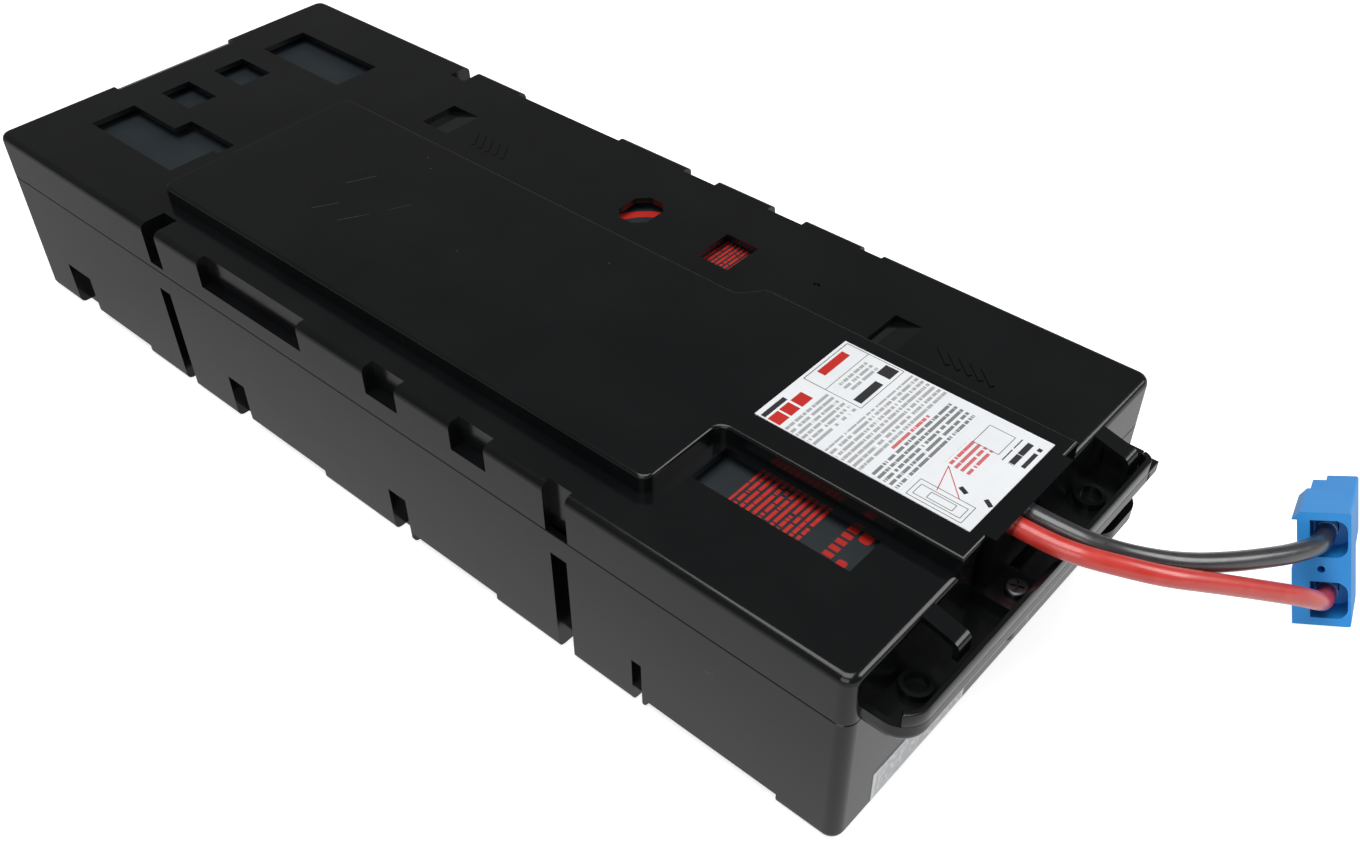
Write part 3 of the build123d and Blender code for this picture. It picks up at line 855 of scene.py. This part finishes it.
@dataclass
class BlockPrint:
    """Wordless red print on the sealed blocks, where the cover's windows show it."""

    face: float = 69.0
    film: float = 0.06
    front_rows: Field = (-47.0, -31.5, -163.0, -136.0)
    first_bar: Field = (-46.4, -44.4, -173.6, -170.2)
    bars: int = 5
    bar_step: float = 3.1
    round_field: Field = (-35.6, -30.6, -178.8, -174.9)
    small_field: Field = (-47.8, -44.6, -178.6, -175.4)
    square_rows: Field = (40.1, 57.6, -61.0, -48.6)
    arc_middle: Spot = (33.5, -29.5)
    arc_radius: float = 25.5
    arc_inner: float = 0.84
    arc_field: Field = (36.5, 58.0, -26.0, -5.0)

    def build(self) -> None:
        """Builds the print in the front window and in the two small right windows."""
        rows, fine, ink = (finish.material() for finish in (BLOCK_ROWS, FINE_BLOCK_ROWS, RED_INK))
        self.show(self.on_face(self.front_rows), "front_window_rows", rows)
        left, right, front, back = self.first_bar
        bars = [self.on_face((left + self.bar_step * i, right + self.bar_step * i, front, back))
                for i in range(self.bars)]
        self.show(joined(bars), "front_window_bars", ink)
        fields = [self.on_face(self.round_field, 1.2), self.on_face(self.small_field, 1.0)]
        self.show(joined(fields), "front_window_fields", ink)
        self.show(self.on_face(self.square_rows), "square_window_rows", fine)
        self.show(self.arc(), "cut_window_arc", ink)

    def on_face(self, field: Field, round_by: float = 0.0) -> bpy.types.Object:
        """Makes one printed field on the blocks' top faces.

        Args:
            field: Its left, right, front and back edges in millimetres.
            round_by: Its corners' radius.

        Returns:
            The field.
        """
        return plate(field, self.face, self.film, round_by)

    def show(self, piece: bpy.types.Object, name: str, finish: bpy.types.Material) -> None:
        """Settles one piece of the print.

        Args:
            piece: The piece.
            name: Its name.
            finish: Its material.
        """
        settle(piece, name, finish)

    def arc(self) -> bpy.types.Object:
        """Returns the printed arc in the window with cut corners, as a ring cut to a field."""
        middle = (*(value * MM for value in self.arc_middle), 0.0)
        left, right, front, back = self.arc_field
        cuts = (((left, 0, 0), (-1, 0, 0)), ((right, 0, 0), (1, 0, 0)),
                ((0, front, 0), (0, -1, 0)), ((0, back, 0), (0, 1, 0)))
        deselect()
        bpy.ops.mesh.primitive_circle_add(vertices=128, radius=self.arc_radius * MM,
                                          location=middle)
        ring = bpy.context.active_object
        bpy.ops.object.mode_set(mode="EDIT")
        bpy.ops.mesh.select_all(action="SELECT")
        bpy.ops.mesh.extrude_edges_move()
        bpy.ops.transform.resize(value=(self.arc_inner, self.arc_inner, 1.0),
                                 center_override=middle)
        for place, normal in cuts:
            bpy.ops.mesh.select_all(action="SELECT")
            bpy.ops.mesh.bisect(plane_co=[value * MM for value in place], plane_no=normal,
                                clear_outer=True)
        bpy.ops.mesh.select_all(action="SELECT")
        bpy.ops.transform.translate(value=(0.0, 0.0, (self.face + self.film) * MM))
        bpy.ops.mesh.normals_make_consistent(inside=False)
        bpy.ops.object.mode_set(mode="OBJECT")
        return ring


@dataclass
class LabelPrint:
    """Generic fields on the two labels: rows of dashes, thin frames and bars, with no words."""

    top: float = 81.05
    film: float = 0.03
    line: float = 0.24
    pointer: float = 0.28
    mark: float = 1.5
    red_bars: tuple[Field, ...] = (
        (-21.9, -17.0, -135.4, -130.7),
        (-16.2, -11.6, -135.4, -130.7),
        (-10.6, -5.2, -135.4, -130.7),
        (6.0, 19.4, -131.7, -128.5),
    )
    dark_bars: tuple[Field, ...] = (
        (-21.9, -10.8, -129.8, -128.0),
        (2.3, 14.2, -148.2, -145.2),
        (17.6, 22.9, -148.2, -143.2),
    )
    pointers: tuple[tuple[Spot, Spot], ...] = (
        ((-3.8, -183.7), (-14.6, -186.7)),
        ((-3.8, -183.7), (-13.4, -193.5)),
    )
    marks: tuple[tuple[Spot, Spot], ...] = (
        ((-9.0, -191.1), (-10.3, -193.9)),
        ((-8.7, -199.4), (-10.4, -202.1)),
    )
    frames: tuple[Field, ...] = (
        (0.6, 23.8, -149.4, -127.4),
        (0.6, 23.8, -135.8, -127.4),
        (-21.3, -13.5, -199.0, -180.6),
        (-19.9, -15.3, -197.7, -182.0),
        (-18.9, -16.2, -194.5, -186.0),
        (9.9, 19.6, -192.2, -183.4),
    )
    front_centre: Point = (-40.0, -207.27, 9.6)
    front_size: Point = (47.0, 0.04, 10.5)

    def build(self) -> None:
        """Builds the fields of the top label and of the front label."""
        self.rows()
        red = [plate(field, self.top, self.film) for field in self.red_bars]
        red += [stroke(*ends, self.top, self.pointer, self.film) for ends in self.pointers]
        dark = [plate(field, self.top, self.film) for field in self.dark_bars]
        dark += [stroke(*ends, self.top, self.mark, self.film) for ends in self.marks]
        lines = [side for field in self.frames for side in self.outline(field)]
        settle(joined(red), "label_red_bars", RED_INK.material())
        settle(joined(dark), "label_dark_bars", DARK_INK.material())
        settle(joined(lines), "label_frames", GREY_INK.material())
        settle(box(self.front_centre, self.front_size), "front_label_rows",
               FRONT_ROWS.material())

    def rows(self) -> None:
        """Builds the fields of small rows."""
        finishes = (GREY_ROWS, DARK_ROWS, BOLD_ROWS, RED_ROWS)
        grey, dark, bold, red = (finish.material() for finish in finishes)
        fields = (("label_left_rows", grey, (-22.0, -0.8, -149.2, -136.4)),
                  ("label_box_rows", grey, (5.0, 19.8, -143.2, -136.6)),
                  ("label_main_rows", grey, (-22.0, 23.8, -165.4, -152.2)),
                  ("label_notice_rows", dark, (-21.4, 20.2, -178.9, -168.2)),
                  ("label_middle_row", red, (-8.2, 11.2, -167.6, -165.7)),
                  ("label_side_rows", red, (-3.2, 10.2, -190.4, -182.0)),
                  ("label_end_rows", bold, (8.6, 20.2, -201.2, -194.0)))
        for name, finish, field in fields:
            settle(plate(field, self.top, self.film / 2), name, finish)

    def outline(self, field: Field) -> list[bpy.types.Object]:
        """Builds the four thin lines of one frame.

        Args:
            field: Its left, right, front and back edges in millimetres.

        Returns:
            The lines.
        """
        x0, x1, y0, y1 = field
        way_round = ((x0, y0), (x1, y0), (x1, y1), (x0, y1), (x0, y0))
        return [stroke(start, end, self.top, self.line, self.film)
                for start, end in zip(way_round, way_round[1:])]


@dataclass
class HandlingMarks:
    """Short scratches and specks on the raised channel's top, and small spots on the long side."""

    top: float = 80.8
    side: float = -82.5
    film: float = 0.012
    scratch: float = 0.22
    speck: float = 0.4
    spot: float = 2.2
    scratches: tuple[tuple[Spot, Spot], ...] = (
        ((-19.7, 74.1), (-8.9, 69.0)),
        ((-39.1, 70.1), (-30.2, 64.9)),
        ((-37.9, 56.2), (-27.8, 50.4)),
        ((-21.8, 47.4), (-13.4, 43.7)),
    )
    specks: tuple[Spot, ...] = ((12.4, 64.2), (7.5, 57.3), (-23.2, 8.0), (6.3, -38.0))
    side_spots: tuple[Spot, ...] = ((209.3, 55.4), (63.4, 41.9), (-50.3, 18.0), (-158.6, 39.3))

    def build(self) -> None:
        """Builds the marks on the channel as one piece and those on the side as another."""
        marks = [stroke(*ends, self.top, self.scratch, self.film) for ends in self.scratches]
        marks += [stroke((x, y), (x + 0.7, y + 0.3), self.top, self.speck, self.film)
                  for x, y in self.specks]
        settle(joined(marks), "handling_marks", SCUFF_GREY.material())
        half = self.spot / 2
        spots = [plate((self.side - self.film, self.side, y - half, y + half), z, half)
                 for y, z in self.side_spots]
        settle(joined(spots), "side_marks", SCUFF_GREY.material())


@dataclass
class CrossScrew:
    """The cover screw with its cross recess, in place of the plain CAD screw."""

    place: Point = (-15.5, -216.8, 61.0)
    head_radius: float = 3.6
    head_height: float = 2.0
    head_rounding: float = 0.9
    recess: float = 0.75
    recess_length: float = 4.2
    recess_height: float = 1.4
    recess_drop: float = 0.3
    recess_turn: float = 20.0
    shank_radius: float = 1.5
    shank_length: float = 14.5
    smooth_angle: float = 30.0

    def build(self) -> bpy.types.Object:
        """Builds the head from a cylinder with a rounded top and a cut cross, and the shank from a
        thinner cylinder.

        Returns:
            The screw.
        """
        head = self.rod(40, self.head_radius, 0.0, self.head_height)
        bevel_chosen(head, "FACE", lambda face: face.normal.z > 0.9, self.head_rounding)
        self.cut_cross(head)
        shank = self.rod(24, self.shank_radius, -self.shank_length, 0.0)
        screw = settle(joined([head, shank]), "cross_screw", SCREW_STEEL.material())
        smooth(screw, self.smooth_angle)
        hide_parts("cover_screw")
        return screw

    def rod(self, sides: int, radius: float, bottom: float, top: float) -> bpy.types.Object:
        """Makes one upright round rod on the screw's axis.

        Args:
            sides: Number of its sides.
            radius: Its radius in millimetres.
            bottom: Its lower end, above the face that the head lies on.
            top: Its upper end.

        Returns:
            The rod.
        """
        x, y, z = self.place
        deselect()
        bpy.ops.mesh.primitive_cylinder_add(
            vertices=sides, radius=radius * MM, depth=(top - bottom) * MM,
            location=(x * MM, y * MM, (z + (bottom + top) / 2) * MM))
        return bpy.context.active_object

    def cut_cross(self, head: bpy.types.Object) -> None:
        """Cuts the two slots of the cross into the head.

        Args:
            head: The head.
        """
        x, y, z = self.place
        for turn in (0.0, 90.0):
            cutter = box((x, y, z + self.head_height - self.recess_drop),
                         (self.recess_length, self.recess, self.recess_height),
                         math.radians(turn + self.recess_turn))
            pick(head)
            cut = head.modifiers.new("cross", "BOOLEAN")
            cut.object = cutter
            cut.operation = "DIFFERENCE"
            bpy.ops.object.modifier_apply(modifier=cut.name)
            bpy.data.objects.remove(cutter)


BLACK_LEAD = Lead(
    "free_lead_black",
    [(0.5, -210.0, 75.2), (0.5, -220.0, 75.2), (3.6, -231.0, 73.2), (12.0, -241.5, 69.2),
     (23.0, -250.0, 64.2), (36.0, -257.7, 59.6), (47.5, -263.6, 55.9), (58.6, -268.6, 52.2),
     (69.6, -272.2, 48.6), (78.05, -273.16, 45.99), (86.16, -271.68, 42.37)],
    length=122.0, finish=BLACK_SHEATH, slot_name="wire_black", node="lead_black",
    on_it=["plug_housing", "plug_contact_black"])
RED_LEAD = Lead(
    "free_lead_red",
    [(-6.5, -210.0, 75.2), (-6.5, -219.0, 75.2), (-5.1, -228.3, 75.3), (1.7, -238.6, 72.4),
     (9.9, -248.4, 68.4), (23.2, -257.2, 61.2), (37.6, -266.2, 52.8), (53.0, -275.7, 43.6),
     (63.2, -280.2, 35.8), (71.79, -281.07, 28.73), (79.90, -279.59, 25.11)],
    length=134.3, finish=RED_SHEATH, slot_name="wire_red", node="lead_red",
    on_it=["plug_contact_red"])


def main() -> None:
    """Builds every sub-assembly in order."""
    bpy.context.scene.view_settings.view_transform = "Standard"
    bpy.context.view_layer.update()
    PhotoCamera().build()
    for lead in (BLACK_LEAD, RED_LEAD):
        lead.build()
    Stage().build()
    Moulding().dress()
    CrossScrew().build()
    BasinRim().build()
    BlockPrint().build()
    LabelPrint().build()
    HandlingMarks().build()


if __name__ == "__main__":
    main()
